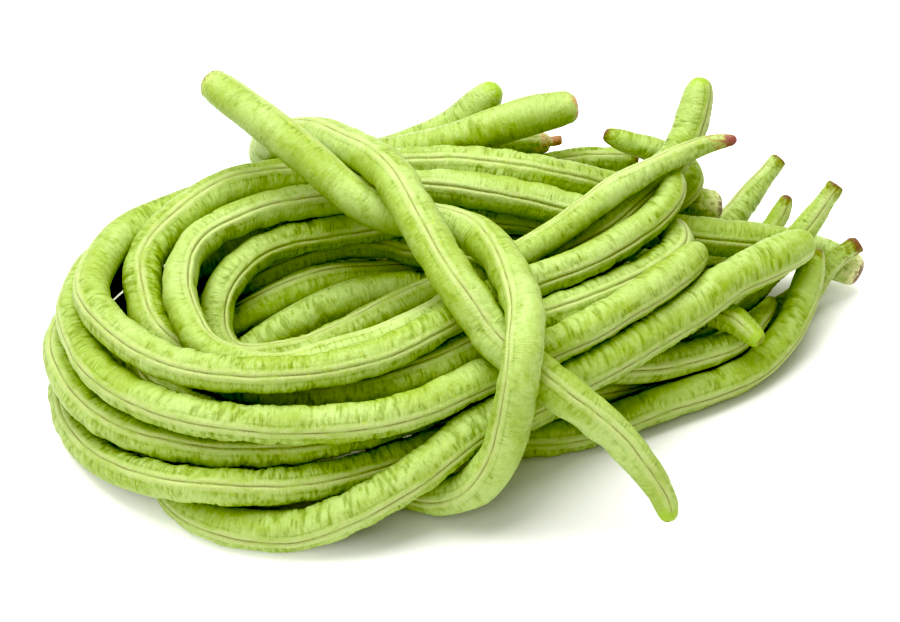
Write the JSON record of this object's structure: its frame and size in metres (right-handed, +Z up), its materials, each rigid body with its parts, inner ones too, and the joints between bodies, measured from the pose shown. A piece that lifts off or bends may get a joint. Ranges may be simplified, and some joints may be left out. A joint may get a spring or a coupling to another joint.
{
  "type": "yardlong bean bunch",
  "caption": "Folded bunch of fresh yardlong beans lying on its side, long pods in a U tied together by another pod in a half knot.",
  "frame": {"origin": "on the surface that the bunch lies on, under the middle of its box", "axes": "+X from the folded bends towards the loose ends of the pods, +Y away from the front leg of the fold, +Z up"},
  "size_m": [0.2412, 0.159, 0.0708],
  "materials": {
    "pod_skin_pale": "fresh bean pod skin, pale yellow-green, semi-matt with a soft sheen",
    "pod_skin_mid": "fresh bean pod skin, light green, semi-matt with a soft sheen",
    "pod_skin_deep": "fresh bean pod skin, fuller green, semi-matt with a soft sheen"
  },
  "bodies": {
    "root": {"tie_pod": "pod_skin_pale", "pod_top_outer": "pod_skin_mid", "pod_second_outer": "pod_skin_mid", "pod_third_outer": "pod_skin_deep", "pod_fourth_outer": "pod_skin_mid", "pod_back_loop": "pod_skin_mid", "pod_pale_loop": "pod_skin_pale", "pod_inner_loop": "pod_skin_mid", "pod_ground_loop": "pod_skin_pale", "pod_hidden_loop_a": "pod_skin_deep", "pod_hidden_loop_b": "pod_skin_deep", "pod_hidden_loop_c": "pod_skin_deep"}
  },
  "joints": []
}
